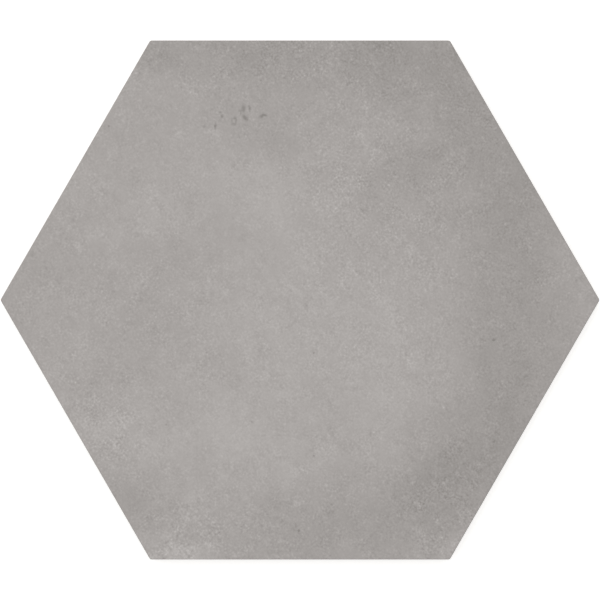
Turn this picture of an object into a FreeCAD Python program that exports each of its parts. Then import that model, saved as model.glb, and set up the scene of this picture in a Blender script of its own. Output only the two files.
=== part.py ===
import FreeCAD
import Part
import math
import os

# Hexagon floor tile: one pressed and fired slab of matt, concrete-look porcelain stoneware.
#
# It lies face up on its back. The origin is the centre of the back, +Z points out of the
# wearing face, and two opposite corners lie on the X axis. All lengths are in millimetres.
#
# The side of the tile, from the face down: a rolled arris, an upright land that sets the
# joint to the next tile, a skirt that leans in so that the pressed slab leaves its die, and
# a softened edge where the skirt meets the back.
# The back is a plain border round a field of shallow hexagonal pockets. The ribs between them
# stand level with the border, and the adhesive keys into the pockets.

# The slab
ACROSS_FLATS = 216.0      # between opposite sides, at the wearing face
THICKNESS = 9.5           # from the ribs of the back to the wearing face
CORNER_RADIUS = 1.0       # of the six upright corners, seen from above
ARRIS_RADIUS = 0.6        # of the rolled edge round the wearing face
LAND_HEIGHT = 5.0         # of the upright part of each side, from the wearing face down
SKIRT_LEAN = 0.5          # how far each side leans in between its land and the back
BACK_EDGE_RADIUS = 0.6    # of the softened edge round the back

# The keyed back
BORDER_WIDTH = 6.7        # plain border between the edge of the back and the keyed field
POCKET_PITCH = 12.0       # between the centres of neighbouring pockets
RIB_WIDTH = 2.4           # between the mouths of neighbouring pockets
POCKET_DEPTH = 0.6        # from the ribs to a pocket's floor
POCKET_WALL_ANGLE = 40.0  # degrees that a pocket's wall leans in from upright
TRIM_REACH = 1.5          # a pocket centred no further than this outside the field is trimmed
CUTTER_OVERRUN = 0.5      # how far the cutting solids stand out below the back

SIDES = 6
SIDE_ANGLE = 360.0 / SIDES
HALF_ANGLE = SIDE_ANGLE / 2
ROUNDING_ERROR = 0.001

# What follows from those sizes
LAND_FOOT = THICKNESS - LAND_HEIGHT
BACK_ACROSS_FLATS = ACROSS_FLATS - 2 * SKIRT_LEAN
FIELD_ACROSS_FLATS = BACK_ACROSS_FLATS - 2 * BORDER_WIDTH
POCKET_MOUTH = POCKET_PITCH - RIB_WIDTH
POCKET_COLUMN_STEP = POCKET_PITCH * math.cos(math.radians(HALF_ANGLE))


def point(reach, angle, height=0.0):
    """Point at a distance from the Z axis, at an angle in degrees from +X and at a height."""
    turn = math.radians(angle)
    return FreeCAD.Vector(reach * math.cos(turn), reach * math.sin(turn), height)


def corner_reach(across_flats):
    """Distance from the centre of a hexagon to its corners."""
    return across_flats / 2 / math.cos(math.radians(HALF_ANGLE))


def slab_outline(across_flats, height):
    """Outline of the slab at a height: a hexagon with six rounded corners."""
    reach = corner_reach(across_flats - 2 * CORNER_RADIUS)
    corners = []
    for side in range(SIDES):
        angle = side * SIDE_ANGLE
        centre = point(reach, angle, height)
        start, middle, end = (
            centre + point(CORNER_RADIUS, angle + turn) for turn in (-HALF_ANGLE, 0, HALF_ANGLE)
        )
        corners.append(Part.Arc(start, middle, end).toShape())
    edges = []
    for side, corner in enumerate(corners):
        following = corners[(side + 1) % SIDES]
        edges.append(corner)
        edges.append(Part.makeLine(corner.Vertexes[-1].Point, following.Vertexes[0].Point))
    return Part.Wire(edges)


def edges_at(solid, height):
    """Edges of a solid that lie flat at a height."""
    found = []
    for edge in solid.Edges:
        box = edge.BoundBox
        if box.ZLength < ROUNDING_ERROR and abs(box.ZMin - height) < ROUNDING_ERROR:
            found.append(edge)
    return found


def pressed_slab():
    """The slab as it leaves the die: land and skirt, with the arris and the back edge softened."""
    foot_of_land = slab_outline(ACROSS_FLATS, LAND_FOOT)
    land = Part.Face(foot_of_land).extrude(FreeCAD.Vector(0, 0, LAND_HEIGHT))
    skirt = Part.makeLoft([slab_outline(BACK_ACROSS_FLATS, 0), foot_of_land], True, True)
    slab = land.fuse(skirt)
    slab = slab.makeFillet(ARRIS_RADIUS, edges_at(slab, THICKNESS))
    return slab.makeFillet(BACK_EDGE_RADIUS, edges_at(slab, 0))


def polygon(corners):
    """Flat face with straight sides between its corners."""
    return Part.Face(Part.makePolygon(corners + corners[:1]))


def cutter(across_flats):
    """Hexagonal cutter, with that width at the back and walls that lean in as it rises."""
    lean = math.tan(math.radians(POCKET_WALL_ANGLE))
    mouth_reach = corner_reach(across_flats + 2 * CUTTER_OVERRUN * lean)
    floor_reach = corner_reach(across_flats - 2 * POCKET_DEPTH * lean)
    angles = [side * SIDE_ANGLE for side in range(SIDES)]
    mouth = [point(mouth_reach, angle, -CUTTER_OVERRUN) for angle in angles]
    floor = [point(floor_reach, angle, POCKET_DEPTH) for angle in angles]
    faces = [polygon(mouth), polygon(floor)]
    for side in range(SIDES):
        following = (side + 1) % SIDES
        faces.append(polygon([mouth[side], mouth[following], floor[following], floor[side]]))
    return Part.Solid(Part.Shell(faces))


def distance_to_sides(place):
    """How far a place is from the tile's centre, measured square to the side that it is nearest."""
    outward = [point(1, (side + 0.5) * SIDE_ANGLE) for side in range(SIDES)]
    return max(place.dot(direction) for direction in outward)


def pocket_centres():
    """Centres of the pockets: a honeycomb whose cells stand the same way round as the tile."""
    furthest = FIELD_ACROSS_FLATS / 2 + TRIM_REACH
    count = math.ceil(corner_reach(2 * furthest) / POCKET_COLUMN_STEP)
    centres = []
    for column in range(-count, count + 1):
        for row in range(-count, count + 1):
            y = (row + column % 2 / 2) * POCKET_PITCH
            centre = FreeCAD.Vector(column * POCKET_COLUMN_STEP, y, 0)
            if distance_to_sides(centre) <= furthest:
                centres.append(centre)
    return centres


def keyed_pockets():
    """All pockets of the back as cutting solids, each trimmed where it would leave the field."""
    pocket = cutter(POCKET_MOUTH)
    field = cutter(FIELD_ACROSS_FLATS)
    whole_within = (FIELD_ACROSS_FLATS - POCKET_MOUTH) / 2 + ROUNDING_ERROR
    pockets = []
    for centre in pocket_centres():
        placed = pocket.translated(centre)
        if distance_to_sides(centre) > whole_within:
            placed = placed.common(field)
        pockets.append(placed)
    return Part.makeCompound(pockets)


def hexagon_tile():
    """The whole tile, one solid."""
    return pressed_slab().cut(keyed_pockets()).Solids[0]


def main():
    os.makedirs("parts", exist_ok=True)
    tile = hexagon_tile()
    tile.exportStep("parts/hexagon_tile.step")
    box = tile.BoundBox
    print(f"hexagon_tile: {box.XLength:.2f} x {box.YLength:.2f} x {box.ZLength:.2f} mm,"
          f" {tile.Volume / 1000:.1f} cm3, {len(tile.Faces)} faces, valid: {tile.isValid()}")


main()
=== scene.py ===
"""Looks of a hexagonal floor tile: matt, concrete-look porcelain stoneware with a keyed back.

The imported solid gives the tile's place and overall size. One closed mesh stands for it: the
wearing face with its slight unevenness, the rolled arris, the pressed sides, and a back whose
honeycomb of pockets is laid out by Geometry Nodes. Lengths are in millimetres until a mesh or
a node takes them, because Blender and the frame work in metres.
"""

from __future__ import annotations

import logging
import math
from collections.abc import Mapping, Sequence
from dataclasses import dataclass, field
from enum import Enum
from functools import partial

import bmesh
import bpy
import numpy as np
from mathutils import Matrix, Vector, noise

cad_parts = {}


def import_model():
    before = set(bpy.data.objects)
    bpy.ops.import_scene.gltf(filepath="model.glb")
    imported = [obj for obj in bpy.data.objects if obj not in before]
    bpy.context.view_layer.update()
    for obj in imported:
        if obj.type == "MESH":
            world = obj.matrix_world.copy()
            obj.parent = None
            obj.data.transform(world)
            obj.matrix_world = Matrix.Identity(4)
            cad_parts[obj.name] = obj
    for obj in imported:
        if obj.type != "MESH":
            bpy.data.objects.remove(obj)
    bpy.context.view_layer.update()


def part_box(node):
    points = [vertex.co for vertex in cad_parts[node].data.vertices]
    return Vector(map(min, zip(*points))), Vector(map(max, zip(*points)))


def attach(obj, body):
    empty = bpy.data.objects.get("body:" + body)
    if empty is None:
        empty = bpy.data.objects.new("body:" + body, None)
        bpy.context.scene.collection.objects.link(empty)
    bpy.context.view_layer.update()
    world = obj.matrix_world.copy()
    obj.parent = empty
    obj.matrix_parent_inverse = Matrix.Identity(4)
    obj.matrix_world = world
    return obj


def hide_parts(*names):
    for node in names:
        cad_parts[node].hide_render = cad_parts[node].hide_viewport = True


MM = 0.001
SIDES = 6
SIDE_ANGLE = math.tau / SIDES
NODE = "hexagon_tile"
BODY = "root"

MATH = "ShaderNodeMath"
VECTOR_MATH = "ShaderNodeVectorMath"
MIX = "ShaderNodeMix"

# Noise has a grain along its own axes, so those stand askew to the tile's.
NOISE_TURN = (0.7, 0.4, 1.1)
NOISE_MIDDLE = 0.5
# Noise seldom strays more than a quarter from its middle, so this makes it run to 1.
NOISE_SWING = 4
# Vertices this close, in millimetres, are one vertex, and an edge this short is left out.
WELD = 0.002
SHORTEST_EDGE = 0.001
# Glaze and fired body alike bend light about as much as glass does.
FIRED_IOR = 1.5

logger = logging.getLogger("hexagon_tile")

Point = tuple[float, float, float]
Flat = tuple[float, float]
# What one node gives another: an output socket, or a node for its first output in use.
Feed = bpy.types.NodeSocket | bpy.types.Node


class Skin(Enum):
    """Which finish a face of the tile wears, by its place in the mesh's material list."""

    GLAZED = 0
    BACK = 1


class Draw(Enum):
    """Where each pattern reads its noise, in metres away, so that no two line up."""

    CLOUD_EDGES = 0.4
    BROAD_MOTTLE = 1.3
    WASH_STREAKS = 1.8
    GLAZE_SILK = 2.2
    FINE_MOTTLE = 2.9
    BODY_GRAINS = 3.1
    BLOTCHES = 4.4
    GATHERING = 5.3
    DIE_STREAKS = 5.7
    FLECKS = 6.6
    SMUDGE_EDGES = 7.5
    BODY_SKIN = 8.2
    GLAZE_EDGE = 9.3


def linear(hex_colour: str) -> tuple[float, float, float, float]:
    """Turn an sRGB colour into the linear colour that Blender's sockets take.

    Args:
        hex_colour: The colour as six hexadecimal digits after a hash sign.

    Returns:
        Red, green, blue and an alpha of 1.
    """
    channels = (int(hex_colour[start : start + 2], 16) / 255 for start in (1, 3, 5))
    red, green, blue = (
        value / 12.92 if value <= 0.04045 else ((value + 0.055) / 1.055) ** 2.4
        for value in channels
    )
    return red, green, blue, 1.0


def scale_for(size: float) -> float:
    """Scale of a noise texture whose features are about this many millimetres across."""
    return 1 / (size * MM)


def add_node(
    tree: bpy.types.NodeTree,
    kind: str,
    inputs: Mapping[str, object] | Sequence[object] = (),
    **settings: object,
) -> bpy.types.Node:
    """Add one node to a tree, with its settings, values and links.

    Args:
        tree: The tree that gets the node.
        kind: Blender's identifier of the kind of node.
        inputs: A value or a Feed for each input, by the input's name or from the first one on.
        **settings: The node's own properties, such as its operation.

    Returns:
        The new node.
    """
    node = tree.nodes.new(kind)
    for name, value in settings.items():
        setattr(node, name, value)
    in_use = [socket for socket in node.inputs if socket.enabled]
    if isinstance(inputs, Mapping):
        names = [socket.name for socket in in_use]
        in_use = [in_use[names.index(name)] for name in inputs]
        inputs = list(inputs.values())
    for socket, value in zip(in_use[: len(inputs)], inputs, strict=True):
        if isinstance(value, bpy.types.Node):
            value = next(output for output in value.outputs if output.enabled)
        if isinstance(value, bpy.types.NodeSocket):
            tree.links.new(value, socket)
        else:
            socket.default_value = value
    return node


@dataclass(frozen=True)
class Noise:
    """A pattern of soft spots of a real size.

    Attributes:
        size: Width of the spots in millimetres.
        detail: How many finer octaves they carry.
        draw: Which draw of the noise it is.
    """

    size: float
    detail: float
    draw: Draw

    def lay(self, tree: bpy.types.NodeTree, place: Feed) -> bpy.types.Node:
        """Add the pattern to a material.

        Args:
            tree: The material's tree.
            place: The coordinates to read, in metres.

        Returns:
            The texture, whose value runs from 0 to 1 about a middle of 0.5.
        """
        away = self.draw.value
        askew = {"Vector": place, "Location": (away, away / 2, away / 3), "Rotation": NOISE_TURN}
        turned = add_node(tree, "ShaderNodeMapping", askew)
        pattern = {"Vector": turned, "Scale": scale_for(self.size), "Detail": self.detail}
        return add_node(tree, "ShaderNodeTexNoise", pattern)


@dataclass(frozen=True)
class Mottle(Noise):
    """A pattern that lightens and darkens the print.

    Attributes:
        contrast: How far it moves the tone, in steps of 1/255, from the darkest to the lightest.
        lean: How much its light spots stand out over its dark ones.
        tail: How much its rarest spots stand out over the common ones.
    """

    contrast: float
    lean: float = 0.0
    tail: float = 0.0

    def swing(self, tree: bpy.types.NodeTree, place: Feed) -> bpy.types.Node:
        """Add what the pattern does to the tone.

        Args:
            tree: The material's tree.
            place: Object coordinates, in metres.

        Returns:
            What it adds at each place, in steps of 1/255.
        """
        add = partial(add_node, tree)
        off = add(MATH, (self.lay(tree, place), NOISE_MIDDLE), operation="SUBTRACT")
        swing = add(MATH, (off, self.contrast), operation="MULTIPLY")
        if not self.lean and not self.tail:
            return swing
        growth = add(MATH, (off, self.tail, self.lean), operation="MULTIPLY_ADD")
        stretch = add(MATH, (off, growth, 1.0), operation="MULTIPLY_ADD")
        return add(MATH, (swing, stretch), operation="MULTIPLY")


@dataclass(frozen=True)
class Sway:
    """Waves that push a pattern about, so that its edges come out uneven.

    Attributes:
        waves: The pattern of the waves.
        reach: How far in millimetres they push a place at most, about.
    """

    waves: Noise
    reach: float

    def push(self, tree: bpy.types.NodeTree, place: Feed) -> bpy.types.Node:
        """Push coordinates about.

        Args:
            tree: The material's tree.
            place: Object coordinates, in metres.

        Returns:
            The pushed coordinates, in metres.
        """
        add = partial(add_node, tree)
        waves = self.waves.lay(tree, place).outputs["Color"]
        off = add(VECTOR_MATH, (waves, (NOISE_MIDDLE,) * 3), operation="SUBTRACT")
        shift = add(VECTOR_MATH, (off, NOISE_SWING * self.reach * MM), operation="SCALE")
        return add(VECTOR_MATH, (place, shift), operation="ADD")


@dataclass(frozen=True)
class Patch:
    """A soft-edged oval on the wearing face, in millimetres, seen with +Y upwards.

    Attributes:
        x: Its middle, right of the tile's centre.
        y: Its middle, above the tile's centre.
        length: Its whole length.
        width: Its whole width.
        turn: Degrees that its length is turned anticlockwise from +X.
        strength: What its middle adds, fading to nothing at its rim.
    """

    x: float
    y: float
    length: float
    width: float
    turn: float
    strength: float

    def lay(self, tree: bpy.types.NodeTree, flat: Feed) -> bpy.types.Node:
        """Add the patch to a material.

        Args:
            tree: The material's tree.
            flat: Coordinates across the wearing face, in metres, with a height of 0.

        Returns:
            What it adds at each place.
        """
        add = partial(add_node, tree)
        oval = {
            "Vector": flat,
            "Location": (self.x * MM, self.y * MM, 0),
            "Rotation": (0, 0, math.radians(self.turn)),
            "Scale": (self.length / 2 * MM, self.width / 2 * MM, 1),
        }
        inside = add("ShaderNodeMapping", oval, vector_type="TEXTURE")
        depth = add("ShaderNodeTexGradient", (inside,), gradient_type="SPHERICAL")
        bell = {"Value": depth.outputs["Fac"], "To Max": self.strength}
        return add("ShaderNodeMapRange", bell, interpolation_type="SMOOTHSTEP")


def lay_patches(tree: bpy.types.NodeTree, place: Feed, patches: Sequence[Patch]) -> Feed | float:
    """Add up patches laid on the wearing face.

    Args:
        tree: The material's tree.
        place: The coordinates to read, in metres.
        patches: The patches.

    Returns:
        The sum of what they add at each place.
    """
    flat = add_node(tree, VECTOR_MATH, (place, (1, 1, 0)), operation="MULTIPLY")
    total: Feed | float = 0.0
    for patch in patches:
        total = add_node(tree, MATH, (patch.lay(tree, flat), total), operation="ADD")
    return total


@dataclass(frozen=True)
class Tones:
    """The colours that a pattern runs through, as sRGB hex values.

    Attributes:
        dark: The darkest.
        middle: The one halfway.
        light: The lightest.
        low: The pattern's value that shows the darkest.
        high: The pattern's value that shows the lightest.
    """

    dark: str
    middle: str
    light: str
    low: float = 0.0
    high: float = 1.0

    def show(self, tree: bpy.types.NodeTree, pattern: Feed) -> bpy.types.Node:
        """Colour a pattern.

        Args:
            tree: The material's tree.
            pattern: Its value at each place.

        Returns:
            The colour at each place.
        """
        ramp = add_node(tree, "ShaderNodeValToRGB", (pattern,))
        stops = ramp.color_ramp.elements
        stops[0].position = self.low
        stops[1].position = self.high
        stops.new((self.low + self.high) / 2)
        for stop, colour in zip(stops, (self.dark, self.middle, self.light), strict=True):
            stop.color = linear(colour)
        return ramp


def new_material(name: str) -> tuple[bpy.types.Material, bpy.types.NodeTree]:
    """Make a material without nodes.

    Args:
        name: What the finish is.

    Returns:
        The material and its tree.
    """
    material = bpy.data.materials.new(name)
    material.use_nodes = True
    material.node_tree.nodes.clear()
    return material, material.node_tree


def finish_surface(
    tree: bpy.types.NodeTree, colour: Feed, roughness: Feed | float, relief: Feed
) -> None:
    """Join what makes up a fired surface in its shader.

    Args:
        tree: The material's tree.
        colour: Its colour.
        roughness: Its roughness, a number where it is the same all over.
        relief: The height of its fine relief, in metres.
    """
    add = partial(add_node, tree)
    bump = add("ShaderNodeBump", {"Height": relief, "Distance": 1.0, "Strength": 1.0})
    looks = {"Base Color": colour, "Roughness": roughness, "IOR": FIRED_IOR, "Normal": bump}
    add("ShaderNodeOutputMaterial", (add("ShaderNodeBsdfPrincipled", looks),))


@dataclass(frozen=True)
class PressedBody:
    """Unglazed porcelain stoneware, pressed from spray-dried grains and fired.

    It shows as a dull, light warm grey with a salt-and-pepper speckle of darker and lighter
    grains, and a skin that is slightly rough to the touch. Its sides carry faint upright
    streaks where the slab was pushed out of its die. Most of the grains are about 0.2 mm across,
    too fine to show, so they are drawn at 0.45 mm.

    Attributes:
        tones: The colours of its grains.
        grains: The pattern of its grains.
        skin: The pattern of its relief, which the grains give it.
        streaks: The pattern of the die's streaks.
        streak_slimness: Width of a streak as a share of its height.
        streak_share: How much of the pattern of its colour the streaks are, from 0 to 1.
        roughness: Of its surface, from 0 to 1.
        relief: Height of its relief in millimetres.
    """

    tones: Tones = Tones("#98938F", "#AEA9A5", "#C1BDB9", low=0.36, high=0.64)
    grains: Noise = Noise(0.45, 2, Draw.BODY_GRAINS)
    skin: Noise = Noise(0.45, 3, Draw.BODY_SKIN)
    streaks: Noise = Noise(1.7, 3, Draw.DIE_STREAKS)
    streak_slimness: float = 0.09
    streak_share: float = 0.2
    roughness: float = 0.82
    relief: float = 0.025

    def colour(self, tree: bpy.types.NodeTree, place: Feed) -> bpy.types.Node:
        """Add the body's speckled, streaked colour.

        Args:
            tree: The material's tree.
            place: Object coordinates, in metres.

        Returns:
            The colour.
        """
        add = partial(add_node, tree)
        grains = self.grains.lay(tree, place)
        upright = add(VECTOR_MATH, (place, (1, 1, self.streak_slimness)), operation="MULTIPLY")
        streaks = self.streaks.lay(tree, upright)
        speckle = add(MATH, (grains, 1 - self.streak_share), operation="MULTIPLY")
        both = add(MATH, (streaks, self.streak_share, speckle), operation="MULTIPLY_ADD")
        return self.tones.show(tree, both)


@dataclass(frozen=True)
class ConcretePrint:
    """The print on the glaze, which looks like trowelled concrete.

    It is clouded, and speckled more strongly where it is dark. The face also comes out darker
    towards its rim than in its paler middle. The dots that it is printed from are about 0.07 mm
    across, too fine to show, so its finest flecks are drawn at 0.9 mm, as wide as the clusters of
    dots that do show. The patches' strengths, and the patterns' contrasts, are in steps of 1/255.

    Attributes:
        cloud_sway: What makes the clouds' edges uneven.
        clouds: Broad darker and lighter patches, which overlap and add up.
        smudge_sway: What makes the smudges' edges uneven.
        smudges: The few small marks, most in one group, and pinholes of about a millimetre.
        mottle: Softer mottling that breaks the clouds up.
        blotches: Mottling a few millimetres wide.
        blotchy_places: Where the blotches are stronger or weaker, as a share of their strength.
        flecks: The finest mottling.
        flecked_places: Where the flecks are stronger or weaker, as such a share.
        gathering: How blotches and flecks alike gather and thin out all over the face, as a
            share of their strength at each place.
    """

    cloud_sway: Sway = Sway(Noise(24.0, 2, Draw.CLOUD_EDGES), 5.0)
    clouds: tuple[Patch, ...] = (
        # The dusky rim: the right side, the lower right corner, the top and the bottom.
        Patch(89, -10, 68, 250, 0, -10),
        Patch(76, 72, 140, 70, -62, -7),
        Patch(67, 92, 50, 44, -50, -6),
        Patch(70, -72, 100, 56, 60, -9),
        Patch(57, -64, 80, 36, 60, -7),
        Patch(40, -82, 40, 28, 0, -5),
        Patch(0, 122, 320, 80, 0, -11),
        Patch(-61, 100, 34, 28, 0, -6),
        Patch(-25, 101, 46, 28, 0, -4),
        Patch(-4, 90, 90, 40, 0, -4),
        Patch(-14, 66, 70, 36, 0, -5),
        Patch(36, 99, 66, 46, 0, -7),
        Patch(42, 84, 40, 30, 0, -4),
        Patch(36, -108, 160, 60, 4, -5),
        Patch(-2, -94, 120, 40, 0, -3),
        Patch(-72, -84, 50, 36, -30, -4),
        # A dark wisp in the upper right with fainter ones round it, and one left of the middle.
        Patch(50, 54, 80, 42, 25, -5),
        Patch(57, 64, 36, 10, 22, -5),
        Patch(34, 46, 34, 14, 40, -3),
        Patch(58, 34, 44, 32, 0, -3),
        Patch(-48, 18, 46, 36, 0, -3),
        # The pale middle, and the bands that lead from it to the left and the lower left.
        Patch(-5, 0, 150, 190, 0, 4),
        Patch(42, -24, 80, 120, 0, 4),
        Patch(28, -56, 90, 60, 0, 3),
        Patch(-40, -58, 130, 60, 0, 5),
        Patch(-79, -53, 62, 48, 0, 4),
        Patch(-54, -35, 70, 36, 0, 2),
        Patch(-42, 54, 150, 60, 0, 2.6),
        Patch(-64, 34, 46, 40, 0, 3),
        Patch(-87, 40, 44, 50, 0, 3),
        Patch(-92, -9, 44, 42, 0, 2.6),
        Patch(0, -34, 36, 36, 0, 4),
        Patch(-16, -24, 50, 44, 0, 3),
        Patch(-17, -2, 36, 44, 0, 2),
        Patch(-4, -71, 50, 34, 0, 3),
        Patch(-30, -83, 110, 30, 0, 2),
        Patch(-18, 47, 50, 46, 0, 2),
        Patch(17, 50, 34, 34, 0, 2),
        # Pale places in the rim: on the right, and at the foot with a streak that rises from it.
        Patch(83, 32, 36, 44, 0, 2),
        Patch(72, -50, 40, 32, 0, 4),
        Patch(75, -93, 44, 28, 60, 6),
        Patch(62, -104, 52, 30, 0, 10),
        Patch(25, -107, 48, 22, 0, 5),
        Patch(-47, -104, 48, 26, 0, 8),
        Patch(-48, -89, 38, 10, 80, 4),
    )
    smudge_sway: Sway = Sway(Noise(1.6, 2, Draw.SMUDGE_EDGES), 0.25)
    smudges: tuple[Patch, ...] = (
        # The group of marks in the upper left.
        Patch(-23.5, 79.6, 5.2, 3.0, 86, -23),
        Patch(-25.0, 78.7, 2.8, 2.0, 20, -13),
        Patch(-21.0, 79.7, 5.0, 1.9, -79, -25),
        Patch(-27.1, 75.7, 2.8, 2.4, 0, -25),
        Patch(-26.5, 74.3, 3.0, 1.6, 80, -20),
        Patch(-27.6, 73.2, 3.4, 1.9, 0, -18),
        Patch(-28.5, 74.5, 3.2, 1.5, 90, -13),
        Patch(-23.0, 76.1, 4.0, 3.2, -35, -23),
        Patch(-22.4, 75.1, 2.4, 2.2, 0, -12),
        Patch(-16.0, 76.5, 3.6, 2.5, 20, -22),
        Patch(-15.1, 77.0, 2.8, 2.2, 0, -16),
        Patch(-14.4, 76.8, 2.4, 1.8, -60, -16),
        Patch(-32.5, 76.4, 3.0, 2.0, 45, -21),
        Patch(-33.0, 78.1, 3.4, 1.4, 0, -10),
        Patch(-35.2, 72.3, 4.4, 1.8, 88, -26),
        Patch(-39.9, 72.2, 2.4, 2.2, 0, -13),
        Patch(-24.7, 77.6, 2.6, 1.3, 85, -14),
        Patch(-22.7, 72.7, 4.2, 2.4, 10, -9),
        Patch(-17.2, 72.5, 2.4, 2.0, 0, -7),
        Patch(-18.6, 74.6, 1.8, 1.8, 0, -8),
        Patch(-20.0, 84.5, 3.0, 2.0, 0, -7),
        Patch(-36.5, 79.4, 4.2, 1.9, 38, -8),
        Patch(-35.3, 85.3, 2.0, 1.8, 0, -7),
        Patch(-28.0, 80.3, 1.8, 1.8, 0, -6),
        # Pinholes over the rest of the face.
        Patch(80.6, -16.6, 1.5, 1.5, 0, -34),
        Patch(80.6, -59.0, 1.5, 1.5, 0, -30),
        Patch(-0.5, -96.0, 1.5, 1.5, 0, -34),
        Patch(5.8, -22.0, 1.3, 1.3, 0, -26),
        Patch(-20.0, -50.7, 1.3, 1.3, 0, -22),
        Patch(5.8, -64.8, 1.3, 1.3, 0, -24),
        Patch(-79.4, 72.3, 1.3, 1.3, 0, -22),
        Patch(-55.7, -52.0, 1.3, 1.3, 0, -24),
    )
    mottle: tuple[Mottle, ...] = (
        Mottle(28, 1, Draw.BROAD_MOTTLE, contrast=8.0),
        Mottle(9, 1, Draw.FINE_MOTTLE, contrast=8.6),
    )
    blotches: Mottle = Mottle(3, 1, Draw.BLOTCHES, contrast=10.4)
    blotchy_places: tuple[Patch, ...] = (
        # Stronger at the top, in the upper right and along the bottom.
        Patch(6, 104, 150, 36, 0, 0.4),
        Patch(20, 44, 50, 60, 0, 0.3),
        Patch(70, 60, 70, 40, -60, 0.3),
        Patch(60, -86, 86, 56, 60, 1.0),
        Patch(0, -92, 90, 40, 0, 0.2),
        Patch(-42, -98, 100, 50, 0, 0.9),
        Patch(-85, -54, 60, 60, 0, 0.4),
        # Weaker round the middle.
        Patch(-28, 28, 90, 70, -45, -0.2),
        Patch(-10, -34, 70, 50, 0, -0.25),
        Patch(42, -42, 70, 60, 0, -0.25),
    )
    flecks: Mottle = Mottle(0.9, 1, Draw.FLECKS, contrast=24.0, lean=0.5, tail=5.0)
    flecked_places: tuple[Patch, ...] = (
        # Stronger at the top, in the upper right, down the right side and along the bottom.
        Patch(42, 52, 160, 90, -60, 0.38),
        Patch(18, 42, 60, 70, 0, 0.32),
        Patch(4, 104, 150, 60, 0, 0.52),
        Patch(74, 76, 70, 40, -60, 0.38),
        Patch(93, 4, 50, 200, 0, 0.25),
        Patch(60, -80, 100, 60, 60, 0.42),
        Patch(64, -88, 56, 40, 40, 0.5),
        Patch(-8, -98, 110, 40, 0, 0.3),
        Patch(-48, -100, 96, 46, 0, 0.62),
        Patch(-85, -54, 62, 62, 0, 0.65),
        Patch(-74, 6, 110, 40, 0, 0.12),
        Patch(42, 0, 90, 40, 0, 0.16),
        # Weaker left of the middle, in the upper left, and above the bottom.
        Patch(-24, 28, 94, 78, -45, -0.42),
        Patch(-58, 64, 90, 60, 20, -0.32),
        Patch(-78, 28, 50, 60, 0, -0.25),
        Patch(-34, -58, 100, 60, 0, -0.3),
        Patch(26, -46, 90, 50, 0, -0.15),
    )
    gathering: Mottle = Mottle(7, 3, Draw.GATHERING, contrast=2.8)

    def tone(self, tree: bpy.types.NodeTree, place: Feed) -> bpy.types.Node:
        """Add how far the print stands from its middle tone.

        Args:
            tree: The material's tree.
            place: Object coordinates, in metres.

        Returns:
            The tone in steps of 1/255.
        """
        add = partial(add_node, tree)
        swayed = self.cloud_sway.push(tree, place)
        clouds = lay_patches(tree, swayed, self.clouds)
        smudges = lay_patches(tree, self.smudge_sway.push(tree, place), self.smudges)
        tone = add(MATH, (clouds, smudges), operation="ADD")
        for mottle in self.mottle:
            tone = add(MATH, (tone, mottle.swing(tree, place)), operation="ADD")
        gathered = add(MATH, (self.gathering.swing(tree, place), 1.0), operation="ADD")
        grain = ((self.blotches, self.blotchy_places), (self.flecks, self.flecked_places))
        for mottle, places in grain:
            patches = lay_patches(tree, swayed, places)
            share = add(MATH, (patches, gathered, gathered), operation="MULTIPLY_ADD")
            tone = add(MATH, (mottle.swing(tree, place), share, tone), operation="MULTIPLY_ADD")
        return tone


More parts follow.
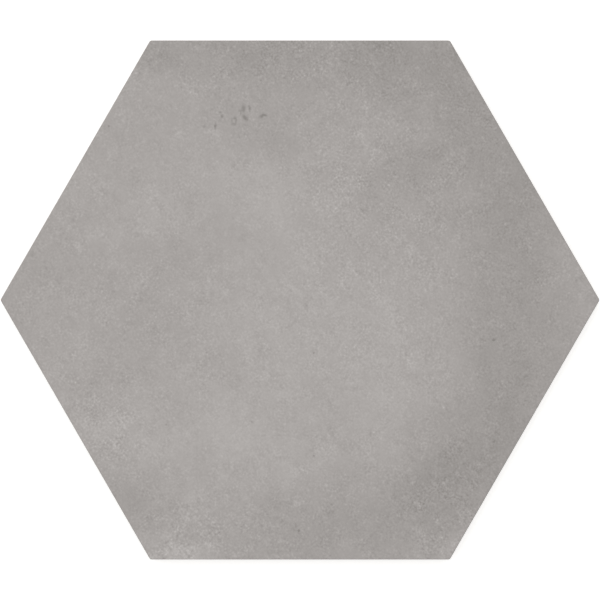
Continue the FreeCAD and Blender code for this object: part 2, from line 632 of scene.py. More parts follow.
@dataclass(frozen=True)
class PrintedGlaze:
    """Matt glaze printed with a concrete look, sprayed over engobe on the pressed body.

    It shows as a warm mid grey, clouded like trowelled cement, with a fine grain, a few small
    brown-grey smudges and pinholes, and a soft sheen that only shows at a low angle. The glaze
    rolls over the arris and ends in an uneven line a little way down the side, with a pale edge
    of engobe below it and the bare body under that.

    Attributes:
        body: The finish of the body under it.
        concrete: Its print.
        tones: The colours that the print runs through.
        tone_steps: How many steps of 1/255 the tones span.
        roughness: Of its surface, from 0 to 1.
        silk: The pattern of its silky relief.
        relief: Height of that relief in millimetres.
        engobe: The colour of the engobe.
        glaze_reach: How far below the wearing face the glaze ends, in millimetres.
        engobe_reach: How far below it the engobe ends.
        edge_waves: The pattern that makes those ends uneven.
        edge_sway: How far up and down it moves them at most, about.
        edge_softness: Half the height over which one coat gives way to the next.
    """

    body: PressedBody
    concrete: ConcretePrint = ConcretePrint()
    tones: Tones = Tones("#87837F", "#A7A29F", "#C6C2BF")
    tone_steps: float = 54.0
    roughness: float = 0.58
    silk: Noise = Noise(0.7, 3, Draw.GLAZE_SILK)
    relief: float = 0.02
    engobe: str = "#CFC9BF"
    glaze_reach: float = 1.3
    engobe_reach: float = 1.6
    edge_waves: Noise = Noise(5.0, 3, Draw.GLAZE_EDGE)
    edge_sway: float = 0.35
    edge_softness: float = 0.08

    def coats(
        self, tree: bpy.types.NodeTree, place: Feed, thickness: float
    ) -> list[bpy.types.Node]:
        """Add masks of how far down the side the glaze and the engobe reach.

        Args:
            tree: The material's tree.
            place: Object coordinates, in metres.
            thickness: Height of the wearing face in millimetres.

        Returns:
            A mask for each, 1 where the coat is and 0 below it.
        """
        add = partial(add_node, tree)
        height = add("ShaderNodeSeparateXYZ", (place,)).outputs["Z"]
        waves = self.edge_waves.lay(tree, place)
        sway = NOISE_SWING * self.edge_sway * MM
        rise = add(MATH, (waves, sway, -sway * NOISE_MIDDLE), operation="MULTIPLY_ADD")
        swayed = add(MATH, (height, rise), operation="ADD")
        masks = []
        for reach in (self.glaze_reach, self.engobe_reach):
            low = (thickness - reach - self.edge_softness) * MM
            high = (thickness - reach + self.edge_softness) * MM
            masks.append(add("ShaderNodeMapRange", (swayed, low, high)))
        return masks

    def material(self, thickness: float) -> bpy.types.Material:
        """Make the material of the wearing face and the sides.

        Args:
            thickness: Height of the wearing face in millimetres.

        Returns:
            The material.
        """
        material, tree = new_material("matt_printed_glaze_on_stoneware")
        add = partial(add_node, tree)
        place = add("ShaderNodeTexCoord").outputs["Object"]
        tone = self.concrete.tone(tree, place)
        share = add(MATH, (tone, 1 / self.tone_steps, 0.5), operation="MULTIPLY_ADD")
        printed = self.tones.show(tree, share)
        glazed, coated = self.coats(tree, place, thickness)
        bare = self.body.colour(tree, place)
        edge = add(MIX, (coated, bare, linear(self.engobe)), data_type="RGBA")
        colour = add(MIX, (glazed, edge, printed), data_type="RGBA")
        roughness = add(MIX, (glazed, self.body.roughness, self.roughness))
        skin, silk = self.body.skin.lay(tree, place), self.silk.lay(tree, place)
        rough = add(MATH, (skin, self.body.relief * MM), operation="MULTIPLY")
        smooth = add(MATH, (silk, self.relief * MM), operation="MULTIPLY")
        relief = add(MIX, (glazed, rough, smooth))
        finish_surface(tree, colour, roughness, relief)
        return material


@dataclass(frozen=True)
class KilnWash:
    """The bare back, its ribs and border rolled with kiln wash so that it leaves the rollers.

    It shows as a chalky, streaky off-white on everything that stands proud, thinning out down
    the walls of the pockets, whose floors show the speckled body.

    Attributes:
        body: The finish of the body under it.
        colour: Of the wash.
        roughness: Of the back, from 0 to 1.
        relief: Height of its relief in millimetres.
        fade_from: Depth in millimetres at which the wash starts to thin out.
        fade_to: Depth at which it has gone.
        streaks: The pattern of the roller's streaks.
        streak_slimness: Width of a streak as a share of its length.
        thin_below: The pattern's value below which the wash is thinnest.
        full_above: The pattern's value above which it hides the body.
        thinnest: How much of the body it still hides where it is thinnest, from 0 to 1.
    """

    body: PressedBody
    colour: str = "#D0CBC2"
    roughness: float = 0.92
    relief: float = 0.035
    fade_from: float = 0.06
    fade_to: float = 0.34
    streaks: Noise = Noise(1.1, 4, Draw.WASH_STREAKS)
    streak_slimness: float = 0.12
    thin_below: float = 0.36
    full_above: float = 0.6
    thinnest: float = 0.55

    def material(self) -> bpy.types.Material:
        """Make the material of the keyed back.

        Returns:
            The material.
        """
        material, tree = new_material("kiln_washed_stoneware")
        add = partial(add_node, tree)
        place = add("ShaderNodeTexCoord").outputs["Object"]
        height = add("ShaderNodeSeparateXYZ", (place,)).outputs["Z"]
        depths = (height, self.fade_to * MM, self.fade_from * MM)
        proud = add("ShaderNodeMapRange", depths, interpolation_type="SMOOTHSTEP")
        rolled = add(VECTOR_MATH, (place, (self.streak_slimness, 1, 1)), operation="MULTIPLY")
        streaks = self.streaks.lay(tree, rolled)
        levels = (streaks, self.thin_below, self.full_above, self.thinnest, 1.0)
        cover = add("ShaderNodeMapRange", levels)
        share = add(MATH, (proud, cover), operation="MULTIPLY")
        bare = self.body.colour(tree, place)
        colour = add(MIX, (share, bare, linear(self.colour)), data_type="RGBA")
        skin = self.body.skin.lay(tree, place)
        relief = add(MATH, (skin, self.relief * MM), operation="MULTIPLY")
        finish_surface(tree, colour, self.roughness, relief)
        return material


def inset_corners(corners: Sequence[Flat], inset: float) -> list[Flat]:
    """Move each side of a convex outline inwards by the same distance.

    Args:
        corners: The outline's corners, anticlockwise.
        inset: How far its sides move in. A negative number moves them out.

    Returns:
        The corners of the smaller outline.
    """
    count = len(corners)
    lines = []
    for index, (x, y) in enumerate(corners):
        next_x, next_y = corners[(index + 1) % count]
        along = Vector((next_x - x, next_y - y)).normalized()
        inward = Vector((-along.y, along.x))
        lines.append((Vector((x, y)) + inward * inset, along))
    moved = []
    for index in range(count):
        (start, along), (other, across) = lines[index - 1], lines[index]
        gap = other - start
        reach = gap.cross(across) / along.cross(across)
        moved.append(tuple(start + along * reach))
    return moved


def rounded_ring(corners: Sequence[Flat], radius: float, spans: Sequence[int]) -> list[Flat]:
    """Points along a convex outline whose corners are rounded.

    Args:
        corners: The outline's corners, anticlockwise.
        radius: The radius of its corners.
        spans: How many edges each side of the cell round it has, which is what each side here
            has too, counting half of the arc at either end as one.

    Returns:
        The points, starting at the middle of the first corner's arc.
    """
    count = len(corners)
    arcs = []
    for index in range(count):
        corner = Vector(corners[index])
        before = (Vector(corners[index - 1]) - corner).normalized()
        after = (Vector(corners[(index + 1) % count]) - corner).normalized()
        bisector = (before + after).normalized()
        half = math.acos(max(-1.0, min(1.0, before.dot(after)))) / 2
        centre = corner + bisector * (radius / math.sin(half))
        trim = radius / math.tan(half)
        arcs.append((corner + before * trim, centre - bisector * radius, corner + after * trim))
    ring = []
    for index in range(count):
        start, end = arcs[index][2], arcs[(index + 1) % count][0]
        ring.append(arcs[index][1])
        steps = spans[index] - 2
        ring.extend(start.lerp(end, step / steps) for step in range(steps + 1))
    return [tuple(place) for place in ring]


def even_ring(corners: Sequence[Flat], spans: Sequence[int]) -> list[Flat]:
    """Points along an outline, evenly spaced on each side.

    Args:
        corners: The outline's corners.
        spans: How many edges each side is divided into.

    Returns:
        The points, starting at the first corner.
    """
    ring = []
    for index, corner in enumerate(corners):
        start, end = Vector(corner), Vector(corners[(index + 1) % len(corners)])
        ring.extend(start.lerp(end, step / spans[index]) for step in range(spans[index]))
    return [tuple(place) for place in ring]


@dataclass
class PocketShape:
    """The section of a pocket of the keyed back, from a rib down to its floor.

    Attributes:
        depth: From the ribs to the floor.
        wall_angle: Degrees that the wall leans from upright.
        lip_radius: Of the rounded lip at the rib.
        floor_radius: Of the hollow where the wall meets the floor.
        corner_radius: Of the mouth's corners.
        arc_steps: Edges across the lip, and across the hollow.
    """

    depth: float = 0.6
    wall_angle: float = 40.0
    lip_radius: float = 0.3
    floor_radius: float = 0.4
    corner_radius: float = 0.9
    arc_steps: int = 2

    def section(self) -> list[tuple[float, float, float]]:
        """Work out the rings of a pocket.

        Returns:
            For each ring, from the rib to the floor: how far it lies inside the pocket's mouth,
            how far it lies above the back's plane, and the radius of its corners.
        """
        lean = math.radians(self.wall_angle)
        turn = math.pi / 2 - lean
        lip = -self.lip_radius * math.tan(turn / 2)
        floor = self.depth * math.tan(lean) + self.floor_radius * math.tan(turn / 2)
        rings = []
        for step in range(self.arc_steps + 1):
            angle = turn * step / self.arc_steps
            height = self.lip_radius * (1 - math.cos(angle))
            rings.append((lip + self.lip_radius * math.sin(angle), height))
        for step in range(self.arc_steps + 1):
            angle = turn * (1 - step / self.arc_steps)
            height = self.depth - self.floor_radius * (1 - math.cos(angle))
            rings.append((floor - self.floor_radius * math.sin(angle), height))
        return [(inward, height, self.corner_radius - inward) for inward, height in rings]


class HoneycombTree:
    """The node tree that fills the keyed field with cells. Its lengths are in metres.

    Attributes:
        INPUTS: The name and kind of each input: the two kinds of cell, the sizes, the draw and
            the finish.
        TOLERANCE: How far a cell may lie from where it is looked for.
        tree: The node tree.
        add: Adds one node to it.
        given: Its inputs, by name.
    """

    INPUTS = (
        ("Whole Cell", "NodeSocketObject"),
        ("Half Cell", "NodeSocketObject"),
        ("Pitch", "NodeSocketFloat"),
        ("Columns", "NodeSocketInt"),
        ("Field Reach", "NodeSocketFloat"),
        ("Shallowest", "NodeSocketFloat"),
        ("Flat Depth", "NodeSocketFloat"),
        ("Unevenness", "NodeSocketFloat"),
        ("Unevenness Scale", "NodeSocketFloat"),
        ("Seed", "NodeSocketInt"),
        ("Finish", "NodeSocketMaterial"),
    )
    TOLERANCE = 0.01 * MM

    def __init__(self) -> None:
        """Build the tree."""
        self.tree = bpy.data.node_groups.new("keyed_back", "GeometryNodeTree")
        for name, kind in self.INPUTS:
            self.tree.interface.new_socket(name=name, in_out="INPUT", socket_type=kind)
        self.tree.interface.new_socket(
            name="Geometry", in_out="OUTPUT", socket_type="NodeSocketGeometry"
        )
        self.add = partial(add_node, self.tree)
        self.given = self.add("NodeGroupInput").outputs
        uneven = self.press(self.cells())
        weld = {"Geometry": uneven, "Distance": WELD * MM}
        welded = self.add("GeometryNodeMergeByDistance", weld)
        real = self.add("GeometryNodeRealizeInstances", (welded,))
        finish = {"Geometry": real, "Material": self.given["Finish"]}
        self.add("NodeGroupOutput", (self.add("GeometryNodeSetMaterial", finish),))

    def lattice(self) -> bpy.types.Node:
        """Add a point for each cell of a lattice that covers the tile.

        Its columns stand three quarters of a cell's width apart, and every other one is shifted
        by half a pitch.

        Returns:
            The points.
        """
        add, given = self.add, self.given
        across = add(MATH, (given["Columns"], 2.0, 1.0), operation="MULTIPLY_ADD")
        count = add(MATH, (across, across), operation="MULTIPLY")
        index = add("GeometryNodeInputIndex")
        rest = add(MATH, (index, across), operation="MODULO")
        column = add(MATH, (rest, given["Columns"]), operation="SUBTRACT")
        turns = add(MATH, (index, across), operation="DIVIDE")
        line = add(MATH, (turns,), operation="FLOOR")
        row = add(MATH, (line, given["Columns"]), operation="SUBTRACT")
        odd = add(MATH, (column, 2.0), operation="FLOORED_MODULO")
        shifted = add(MATH, (odd, 0.5, row), operation="MULTIPLY_ADD")
        step = add(MATH, (given["Pitch"], math.cos(SIDE_ANGLE / 2)), operation="MULTIPLY")
        x = add(MATH, (column, step), operation="MULTIPLY")
        y = add(MATH, (shifted, given["Pitch"]), operation="MULTIPLY")
        place = add("ShaderNodeCombineXYZ", (x, y))
        return add("GeometryNodePoints", {"Count": count, "Position": place})

    def choices(self, x: Feed, y: Feed) -> tuple[bpy.types.Node, bpy.types.Node]:
        """Add what picks the cells of the field, by how far out towards a side they lie.

        Args:
            x: A cell's place across the tile.
            y: A cell's place up the tile.

        Returns:
            What picks the whole cells, and what picks those that the field's edge halves.
        """
        add, given = self.add, self.given
        wide = add(MATH, (x,), operation="ABSOLUTE")
        high = add(MATH, (y,), operation="ABSOLUTE")
        rise = add(MATH, (high, math.sin(SIDE_ANGLE / 2)), operation="MULTIPLY")
        slanted = add(MATH, (wide, math.cos(SIDE_ANGLE / 2), rise), operation="MULTIPLY_ADD")
        distance = add(MATH, (high, slanted), operation="MAXIMUM")
        inner = add(MATH, (given["Pitch"], -0.5, given["Field Reach"]), operation="MULTIPLY_ADD")
        limit = add(MATH, (inner, self.TOLERANCE), operation="ADD")
        whole = add(MATH, (distance, limit), operation="LESS_THAN")
        edge = (distance, given["Field Reach"], self.TOLERANCE)
        return whole, add(MATH, edge, operation="COMPARE")

    def edge_turn(self, x: Feed, y: Feed) -> bpy.types.Node:
        """Add the turn that brings a half cell's cut edge to the side that it stands on.

        Args:
            x: The cell's place across the tile.
            y: The cell's place up the tile.

        Returns:
            The rotation.
        """
        add = self.add
        bearing = add(MATH, (y, x), operation="ARCTAN2")
        sectors = add(MATH, (bearing, SIDE_ANGLE), operation="DIVIDE")
        sector = add(MATH, (sectors,), operation="FLOOR")
        # The cut edge is on +Y in the cell, and the sides' middles are half a sector round.
        first = SIDE_ANGLE / 2 - math.pi / 2
        turn = add(MATH, (sector, SIDE_ANGLE, first), operation="MULTIPLY_ADD")
        euler = add("ShaderNodeCombineXYZ", {"Z": turn})
        return add("FunctionNodeEulerToRotation", (euler,))

    def cells(self) -> bpy.types.Node:
        """Add the cells, each pressed a little less deep than the die.

        Returns:
            The cells of the field, side by side.
        """
        add, given = self.add, self.given
        points = self.lattice()
        where = add("ShaderNodeSeparateXYZ", (add("GeometryNodeInputPosition"),)).outputs
        whole, halved = self.choices(where["X"], where["Y"])
        turn = self.edge_turn(where["X"], where["Y"])
        draw = {"Min": given["Shallowest"], "Max": 1.0, "Seed": given["Seed"]}
        depth = add("FunctionNodeRandomValue", draw, data_type="FLOAT")
        scale = add("ShaderNodeCombineXYZ", (1.0, 1.0, depth))
        joined = add("GeometryNodeJoinGeometry")
        kinds = (("Whole Cell", whole, {}), ("Half Cell", halved, {"Rotation": turn}))
        for name, chosen, turned in kinds:
            cell = add("GeometryNodeObjectInfo", (given[name],)).outputs["Geometry"]
            inputs = {"Points": points, "Selection": chosen, "Instance": cell, "Scale": scale}
            placed = add("GeometryNodeInstanceOnPoints", inputs | turned)
            self.tree.links.new(placed.outputs[0], joined.inputs[0])
        return add("GeometryNodeRealizeInstances", (joined,))

    def press(self, cells: Feed) -> bpy.types.Node:
        """Let the pockets' walls and floors rise and fall a little, and keep the ribs flat.

        Args:
            cells: The cells.

        Returns:
            The uneven cells.
        """
        add, given = self.add, self.given
        spot = add("GeometryNodeInputPosition")
        height = add("ShaderNodeSeparateXYZ", (spot,)).outputs["Z"]
        pattern = {"Vector": spot, "Scale": given["Unevenness Scale"], "Detail": 1.0}
        off = add(MATH, (add("ShaderNodeTexNoise", pattern), NOISE_MIDDLE), operation="SUBTRACT")
        rise = add(MATH, (off, given["Unevenness"]), operation="MULTIPLY")
        moved = {
            "Geometry": cells,
            "Selection": add(MATH, (height, given["Flat Depth"]), operation="GREATER_THAN"),
            "Offset": add("ShaderNodeCombineXYZ", {"Z": rise}),
        }
        return add("GeometryNodeSetPosition", moved)


@dataclass
class KeyedBack:
    """The honeycomb field of the back: whole pockets, with half ones along each side.

    Attributes:
        pitch: Distance between the middles of neighbouring pockets.
        rib: Width of the rib between two pockets' mouths.
        rows: Number of whole pockets from the middle of the tile to the middle of a side.
        spans: Edges along one side of a pocket's cell.
        shape: The section of a pocket.
        flat_depth: How far down a pocket's lip stays as even as the ribs.
        unevenness: How far the floors rise and fall, from the pressing.
        unevenness_size: How wide those rises are.
        shallowest: The shallowest pocket, as a share of the full depth.
        seed: The draw of the pockets' depths.
    """

    pitch: float = 12.0
    rib: float = 2.4
    rows: int = 8
    spans: int = 4
    shape: PocketShape = field(default_factory=PocketShape)
    flat_depth: float = 0.2
    unevenness: float = 0.06
    unevenness_size: float = 5.0
    shallowest: float = 0.94
    seed: int = 11

    @property
    def side(self) -> float:
        """Length of a side of a pocket's hexagonal cell."""
        return self.pitch / math.sqrt(3)

    @property
    def reach(self) -> float:
        """Distance from the tile's centre to the line where the field of cells ends."""
        return (self.rows + 0.5) * self.pitch

    @property
    def cells_along_side(self) -> int:
        """Number of cell sides that fit along a side of the field."""
        return round(self.reach * 2 / math.sqrt(3) / self.side)

    def cell(self, corners: Sequence[Flat], spans: Sequence[int]) -> bpy.types.Object:
        """Make one cell of the honeycomb: half of each rib round it, and its pocket.

        Args:
            corners: The corners of the cell, anticlockwise.
            spans: How many edges each side of the cell has.

        Returns:
            The cell's object.
        """
        mouth = inset_corners(corners, self.rib / 2)
        rings = [[(x, y, 0.0) for x, y in even_ring(corners, spans)]]
        for inward, height, radius in self.shape.section():
            ring = rounded_ring(inset_corners(mouth, inward), radius, spans)
            rings.append([(x, y, height) for x, y in ring])
        size = len(rings[0])
        places = [place for ring in rings for place in ring]
        last = (len(rings) - 1) * size
        places.append(tuple(np.mean(places[last:], axis=0)))
        middle = len(places) - 1
        faces = []
        for start in range(0, last, size):
            for index in range(size):
                here, beside = start + index, start + (index + 1) % size
                faces.append((beside, here, here + size, beside + size))
        for index in range(size):
            faces.append((last + (index + 1) % size, last + index, middle))
        mesh = bpy.data.meshes.new("pocket_cell")
        mesh.from_pydata([Vector(place) * MM for place in places], [], faces)
        return bpy.data.objects.new("pocket_cell", mesh)

    def whole_cell(self) -> bpy.types.Object:
        """Make the cell of a whole pocket.

        Returns:
            The cell's object.
        """
        turns = [math.pi + step * SIDE_ANGLE for step in range(SIDES)]
        corners = [(self.side * math.cos(turn), self.side * math.sin(turn)) for turn in turns]
        return self.cell(corners, [self.spans] * SIDES)

    def half_cell(self) -> bpy.types.Object:
        """Make the cell of a pocket that the field's edge cuts in half, with that edge on +Y.

        Returns:
            The cell's object.
        """
        half = self.pitch / 2
        corners = [(-self.side, 0), (-self.side / 2, -half), (self.side / 2, -half), (self.side, 0)]
        return self.cell(corners, [self.spans, self.spans, self.spans, 2 * self.spans])

    def mesh(self, finish: bpy.types.Material) -> bpy.types.Mesh:
        """Lay the field out.

        Args:
            finish: The back's material.

        Returns:
            The welded field as one mesh, in metres.
        """
        whole, half = self.whole_cell(), self.half_cell()
        holder = bpy.data.objects.new("keyed_back", bpy.data.meshes.new("keyed_back"))
        for made in (whole, half, holder):
            bpy.context.scene.collection.objects.link(made)
        modifier = holder.modifiers.new("keyed_back", "NODES")
        modifier.node_group = HoneycombTree().tree
        values = {
            "Whole Cell": whole,
            "Half Cell": half,
            "Pitch": self.pitch * MM,
            # More than enough to reach the field's corners.
            "Columns": self.rows * 2,
            "Field Reach": self.reach * MM,
            "Shallowest": self.shallowest,
            "Flat Depth": self.flat_depth * MM,
            # Noise runs from a half below its middle to a half above it.
            "Unevenness": 2 * self.unevenness * MM,
            "Unevenness Scale": scale_for(self.unevenness_size),
            "Seed": self.seed,
            "Finish": finish,
        }
        for item in modifier.node_group.interface.items_tree:
            if item.in_out == "INPUT":
                modifier[item.identifier] = values[item.name]
        graph = bpy.context.evaluated_depsgraph_get()
        graph.update()
        mesh = bpy.data.meshes.new_from_object(holder.evaluated_get(graph))
        holder.modifiers.clear()
        for made in (whole, half, holder):
            bpy.data.objects.remove(made)
        return mesh


@dataclass
class Shell:
    """Part of the tile's surface, in millimetres.

    Attributes:
        places: Its points.
        faces: Its faces, each by the numbers of its points.
        skins: The finish that each face wears.
    """

    places: list[Point] = field(default_factory=list)
    faces: list[tuple[int, ...]] = field(default_factory=list)
    skins: list[Skin] = field(default_factory=list)


@dataclass
class Slab:
    """The pressed slab round the keyed field: face, arris, land, skirt and border.

    Attributes:
        across_flats: Distance between opposite sides.
        thickness: From the back's plane to the wearing face.
        spans: Edges along each side of every ring.
        corner_radius: Of the six upright corners.
        corner_spans: Edges round each upright corner.
        arris_radius: Of the rolled edge round the wearing face.
        arris_spans: Edges across it.
        land_height: Of the upright part of the side, from the wearing face down.
        skirt_lean: How far the side leans in below the land.
        back_edge_radius: Of the softened edge round the back.
        back_edge_spans: Edges across it.
        support: How close the ring beside a rolled edge stands to it, to hold the flat flat.
        face_inset: Where the face's lattice of triangles ends, in from the side.
        wave: How deep the face's broad unevenness is.
        wave_size: How wide it is.
        wave_draw: The height in the noise that it is read at.
        ripple: How deep the finer unevenness on it is.
        ripple_size: How wide that is.
        ripple_draw: The height in the noise that that is read at, another, so that the two don't
            line up.
        calm_rings: Over how many of the face's outermost rings both die away.
    """

    across_flats: float
    thickness: float
    spans: int
    corner_radius: float = 1.0
    corner_spans: int = 4
    arris_radius: float = 0.6
    arris_spans: int = 5
    land_height: float = 5.0
    skirt_lean: float = 0.5
    back_edge_radius: float = 0.6
    back_edge_spans: int = 4
    support: float = 0.12
    face_inset: float = 2.4
    wave: float = 0.05
    wave_size: float = 38.0
    wave_draw: float = 3.0
    ripple: float = 0.012
    ripple_size: float = 7.0
    ripple_draw: float = 9.0
    calm_rings: int = 6

    @property
    def foot(self) -> float:
        """Height of the foot of the land, where the skirt starts to lean in."""
        return self.thickness - self.land_height

    def ring(self, inset: float, radius: float, height: float) -> list[Point]:
        """Points round the slab at one height.

        Args:
            inset: How far the sides lie inside those of the land.
            radius: The radius of the corners. At 0 the points of a corner fall together.
            height: Their height above the back's plane.

        Returns:
            The points, anticlockwise, starting at the corner on +X.
        """
        reach = (self.across_flats / 2 - inset - radius) / math.cos(SIDE_ANGLE / 2)
        corners = []
        for corner in range(SIDES):
            turn = corner * SIDE_ANGLE
            middle = Vector((math.cos(turn), math.sin(turn))) * reach
            arc = []
            for step in range(self.corner_spans + 1):
                angle = turn + SIDE_ANGLE * (step / self.corner_spans - 0.5)
                arc.append(middle + Vector((math.cos(angle), math.sin(angle))) * radius)
            corners.append(arc)
        places = []
        for corner in range(SIDES):
            start, end = corners[corner][-1], corners[(corner + 1) % SIDES][0]
            places.extend(corners[corner])
            places.extend(start.lerp(end, step / self.spans) for step in range(1, self.spans))
        return [(place.x, place.y, height) for place in places]

    def arris_rings(self) -> list[list[Point]]:
        """Work out the rings from the edge of the face's lattice over the arris.

        Returns:
            The rings, from the face outwards.
        """
        top, arris, corner = self.thickness, self.arris_radius, self.corner_radius
        rings = [
            self.ring(self.face_inset, 0, top),
            self.ring(corner + self.support, 0, top),
            self.ring(arris + self.support, corner - arris - self.support, top),
        ]
        for step in range(self.arris_spans + 1):
            angle = math.pi / 2 * step / self.arris_spans
            inset = arris * (1 - math.sin(angle))
            rings.append(self.ring(inset, corner - inset, top - arris * (1 - math.cos(angle))))
        return rings

    def land_rings(self) -> list[list[Point]]:
        """Work out the rings of the upright land.

        Returns:
            The rings, from the arris down.
        """
        top = self.thickness - self.arris_radius
        heights = (top - self.support, (top + self.foot) / 2, self.foot + self.support)
        return [self.ring(0, self.corner_radius, height) for height in heights]

    def skirt_rings(self, field_reach: float) -> list[list[Point]]:
        """Work out the rings of the leaning skirt, the softened back edge and the border.

        Args:
            field_reach: Distance from the centre to each side of the keyed field.

        Returns:
            The rings, from the land down and inwards.
        """
        corner, edge = self.corner_radius, self.back_edge_radius
        lean = math.atan2(self.skirt_lean, self.foot)
        upright = math.pi / 2 - lean
        flat_from = self.skirt_lean + edge * math.tan(upright / 2)
        low = edge * (1 - math.sin(lean))
        rings = []
        for height in (self.foot - self.support, low + self.support):
            rings.append(self.ring(self.skirt_lean * (1 - height / self.foot), corner, height))
        for step in range(self.back_edge_spans + 1):
            angle = lean + upright * step / self.back_edge_spans
            inset = flat_from - edge * math.cos(angle)
            radius = max(corner - (inset - self.skirt_lean), 0)
            rings.append(self.ring(inset, radius, edge * (1 - math.sin(angle))))
        border = self.across_flats / 2 - field_reach
        rings.append(self.ring(flat_from + self.support, max(corner - flat_from, 0), 0))
        rings.append(self.ring((flat_from + border) / 2, 0, 0))
        rings.append(self.ring(border, 0, 0))
        return rings

    def side_shell(self, field_reach: float) -> Shell:
        """Make the band round the slab, between the face's lattice and the keyed field.

        Args:
            field_reach: Distance from the centre to each side of the keyed field.

        Returns:
            The band, with the back's finish where it lies flat in the back's plane.
        """
        rings = [*self.arris_rings(), *self.land_rings(), *self.skirt_rings(field_reach)]
        size = len(rings[0])
        shell = Shell([place for ring in rings for place in ring])
        for level in range(len(rings) - 1):
            upper, lower = level * size, (level + 1) * size
            flat_back = rings[level][0][2] == 0 and rings[level + 1][0][2] == 0
            for index in range(size):
                beside = (index + 1) % size
                shell.faces.append((upper + index, lower + index, lower + beside, upper + beside))
                shell.skins.append(Skin.BACK if flat_back else Skin.GLAZED)
        return shell

    def face_height(self, x: float, y: float, share: float) -> float:
        """Height of the wearing face, which the firing leaves slightly uneven.

        Args:
            x: The place across the tile.
            y: The place up the tile.
            share: How far the place is from the centre, as a share of the way to the rim.

        Returns:
            The height, never above the nominal face.
        """
        # Both run from -1 to 1, so half of each on a half runs from 0 to 1.
        wave = noise.noise(Vector((x, y, self.wave_draw)) / self.wave_size)
        ripple = noise.noise(Vector((x, y, self.ripple_draw)) / self.ripple_size)
        dip = self.wave * (0.5 + 0.5 * wave) + self.ripple * (0.5 + 0.5 * ripple)
        # The smooth step over the outermost rings keeps a crease out of the gloss.
        rim = 1 - min(1.0, (1 - share) * self.spans / self.calm_rings)
        return self.thickness - dip * (1 - rim * rim * (3 - 2 * rim))

    def face_shell(self) -> Shell:
        """Make the wearing face, a lattice of triangles in hexagonal rings.

        Returns:
            The face, all of it glazed.
        """
        reach = (self.across_flats / 2 - self.face_inset) / math.cos(SIDE_ANGLE / 2)
        turns = [corner * SIDE_ANGLE for corner in range(SIDES)]
        corners = [Vector((math.cos(turn), math.sin(turn))) * reach for turn in turns]
        shell = Shell([(0.0, 0.0, self.face_height(0, 0, 0))])
        inner, outer = 0, 1
        for ring in range(1, self.spans + 1):
            share = ring / self.spans
            inner_size, outer_size = max(1, SIDES * (ring - 1)), SIDES * ring
            for side in range(SIDES):
                start, end = corners[side] * share, corners[(side + 1) % SIDES] * share
                for step in range(ring):
                    place = start.lerp(end, step / ring)
                    height = self.face_height(place.x, place.y, share)
                    shell.places.append((place.x, place.y, height))
                    here = outer + side * ring + step
                    beyond = outer + (side * ring + step + 1) % outer_size
                    below = inner + (side * (ring - 1) + step) % inner_size
                    shell.faces.append((here, beyond, below))
                    if step < ring - 1:
                        beside = inner + (side * (ring - 1) + step + 1) % inner_size
                        shell.faces.append((below, beyond, beside))
            inner, outer = outer, outer + outer_size
        shell.skins = [Skin.GLAZED] * len(shell.faces)
        return shell


@dataclass
class HexagonTile:
    """The tile as one closed mesh: its slab and its keyed back, with their two finishes.

    Attributes:
        across_flats: Distance between opposite sides.
        thickness: From the back's plane to the wearing face.
        body: The finish of the pressed body, which both others lie on.
        back: The keyed back.
    """

    across_flats: float
    thickness: float
    body: PressedBody = PressedBody()
    back: KeyedBack = field(default_factory=KeyedBack)

    def form(self, wash: bpy.types.Material) -> bmesh.types.BMesh:
        """Weld the slab and the keyed field into one closed form.

        Args:
            wash: The back's material.

        Returns:
            The form in metres, each face with the number of its finish.

        Raises:
            RuntimeError: If the form isn't closed.
        """
        spans = self.back.cells_along_side * self.back.spans
        slab = Slab(self.across_flats, self.thickness, spans)
        form = bmesh.new()
        for shell in (slab.side_shell(self.back.reach), slab.face_shell()):
            corners = [form.verts.new(Vector(place) * MM) for place in shell.places]
            for face, skin in zip(shell.faces, shell.skins, strict=True):
                form.faces.new([corners[index] for index in face]).material_index = skin.value
        before = len(form.faces)
        form.from_mesh(self.back.mesh(wash))
        form.faces.ensure_lookup_table()
        for face in form.faces[before:]:
            face.material_index = Skin.BACK.value
        bmesh.ops.remove_doubles(form, verts=form.verts, dist=WELD * MM)
        bmesh.ops.dissolve_degenerate(form, edges=form.edges, dist=SHORTEST_EDGE * MM)
        bmesh.ops.recalc_face_normals(form, faces=form.faces)
        for face in form.faces:
            face.smooth = True
        open_edges = sum(1 for edge in form.edges if len(edge.link_faces) != 2)
        if open_edges:
            raise RuntimeError(f"the tile's mesh has {open_edges} edges without two faces")
        return form

    def build(self) -> bpy.types.Object:
        """Build and dress the tile.

        Returns:
            The tile's object, at the origin.
        """
        finishes = {
            Skin.GLAZED: PrintedGlaze(self.body).material(self.thickness),
            Skin.BACK: KilnWash(self.body).material(),
        }
        mesh = bpy.data.meshes.new("fired_tile")
        form = self.form(finishes[Skin.BACK])
        form.to_mesh(mesh)
        form.free()
        for skin in Skin:
            mesh.materials.append(finishes[skin])
        tile = bpy.data.objects.new("fired_tile", mesh)
        bpy.context.scene.collection.objects.link(tile)
        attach(tile, BODY)
        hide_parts(NODE)
        return tile


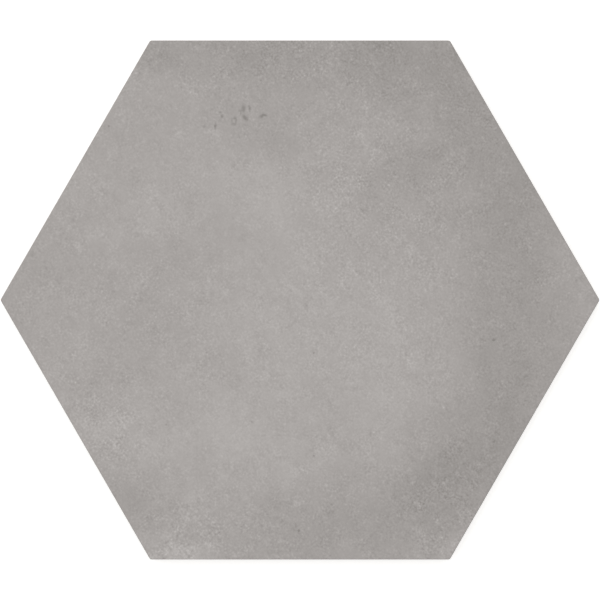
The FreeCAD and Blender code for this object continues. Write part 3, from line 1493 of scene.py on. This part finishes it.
@dataclass
class Studio:
    """A white floor, even light from above and a camera that looks straight down.

    Attributes:
        face_height: Height in millimetres of the wearing face above the floor.
        framed_width: Width in millimetres that the square picture takes in at that height.
        focal_length: Of the camera, in millimetres, long so that the view is nearly parallel.
        sensor: Width of the camera's sensor in millimetres.
        sight: How far the camera sees, as a multiple of its distance from the tile.
        floor_size: Width of the floor in metres.
        floor_colour: The floor's own colour, a pale grey.
        floor_lift: How much light the floor adds for the eye alone, so that it shows white.
        sky_light: Strength of the light from all round.
        softbox_size: Width of the softbox in metres.
        softbox_distance: From the tile to the softbox, in metres.
        softbox_tilt: Degrees that it hangs away from straight overhead.
        softbox_turn: Degrees from +X, anticlockwise, to the side that it hangs on.
        softbox_power: Of the softbox, in watts.
    """

    face_height: float
    framed_width: float = 249.6
    focal_length: float = 200.0
    sensor: float = 36.0
    sight: float = 3.0
    floor_size: float = 6.0
    floor_colour: str = "#E6E5E3"
    floor_lift: float = 0.5
    sky_light: float = 0.62
    softbox_size: float = 1.8
    softbox_distance: float = 1.8
    softbox_tilt: float = 16.0
    softbox_turn: float = 130.0
    softbox_power: float = 12.4

    def camera(self) -> None:
        """Place the camera over the tile's centre, with +Y upwards in the picture."""
        data = bpy.data.cameras.new("camera")
        data.lens = self.focal_length
        data.sensor_width = self.sensor
        distance = self.framed_width * self.focal_length / self.sensor
        data.clip_end = self.sight * distance * MM
        camera = bpy.data.objects.new("camera", data)
        camera.location = (0, 0, (self.face_height + distance) * MM)
        bpy.context.scene.collection.objects.link(camera)
        bpy.context.scene.camera = camera

    def seen_directly(self, tree: bpy.types.NodeTree) -> bpy.types.Node:
        """Add a mask of the rays that show the background, rather than light the tile.

        Args:
            tree: The tree of the floor's material or of the sky.

        Returns:
            The mask, 1 for those rays and 0 for the others.
        """
        path = add_node(tree, "ShaderNodeLightPath").outputs
        rays = (path["Is Camera Ray"], path["Is Glossy Ray"])
        shown = add_node(tree, MATH, rays, operation="MAXIMUM")
        return add_node(tree, MATH, (shown, path["Is Transmission Ray"]), operation="MAXIMUM")

    def floor(self) -> None:
        """Lay a pale floor that looks white and keeps the tile's shadow."""
        half = self.floor_size / 2
        corners = [(-half, -half, 0), (half, -half, 0), (half, half, 0), (-half, half, 0)]
        mesh = bpy.data.meshes.new("floor")
        mesh.from_pydata(corners, [], [(0, 1, 2, 3)])
        material, tree = new_material("white_floor")
        add = partial(add_node, tree)
        diffuse = add("ShaderNodeBsdfDiffuse", {"Color": linear(self.floor_colour)})
        lift = add(MATH, (self.seen_directly(tree), self.floor_lift), operation="MULTIPLY")
        glow = add("ShaderNodeEmission", {"Strength": lift})
        add("ShaderNodeOutputMaterial", (add("ShaderNodeAddShader", (diffuse, glow)),))
        mesh.materials.append(material)
        floor = bpy.data.objects.new("floor", mesh)
        bpy.context.scene.collection.objects.link(floor)

    def sky(self) -> None:
        """Light the tile evenly from all round, with a sky that looks white."""
        world = bpy.data.worlds.new("studio")
        world.use_nodes = True
        world.node_tree.nodes.clear()
        add = partial(add_node, world.node_tree)
        strength = add(MIX, (self.seen_directly(world.node_tree), self.sky_light, 1.0))
        sky = add("ShaderNodeBackground", {"Color": (1, 1, 1, 1), "Strength": strength})
        add("ShaderNodeOutputWorld", (sky,))
        bpy.context.scene.world = world

    def softbox(self) -> None:
        """Hang one large softbox over the tile, a little to the upper left of the picture."""
        data = bpy.data.lights.new("softbox", "AREA")
        data.shape = "SQUARE"
        data.size = self.softbox_size
        data.energy = self.softbox_power
        softbox = bpy.data.objects.new("softbox", data)
        tilt, turn = math.radians(self.softbox_tilt), math.radians(self.softbox_turn)
        aside, up = math.sin(tilt), math.cos(tilt)
        aim = Vector((aside * math.cos(turn), aside * math.sin(turn), up))
        softbox.location = aim * self.softbox_distance
        softbox.rotation_euler = aim.to_track_quat("Z", "Y").to_euler()
        bpy.context.scene.collection.objects.link(softbox)

    def build(self) -> None:
        """Set the studio up."""
        self.camera()
        self.floor()
        self.sky()
        self.softbox()
        bpy.context.scene.view_settings.view_transform = "Standard"


def main() -> None:
    """Load the frame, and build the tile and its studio."""
    logging.basicConfig(level=logging.INFO, format="%(name)s: %(message)s")
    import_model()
    low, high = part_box(NODE)
    size = (high - low) / MM
    tile = HexagonTile(across_flats=size.y, thickness=size.z).build()
    triangles = sum(len(face.vertices) - 2 for face in tile.data.polygons)
    logger.info("%s: %d triangles, %d finishes", tile.name, triangles, len(tile.data.materials))
    Studio(face_height=size.z).build()
    logger.info("studio: floor, softbox, sky and camera")


if __name__ == "__main__":
    main()
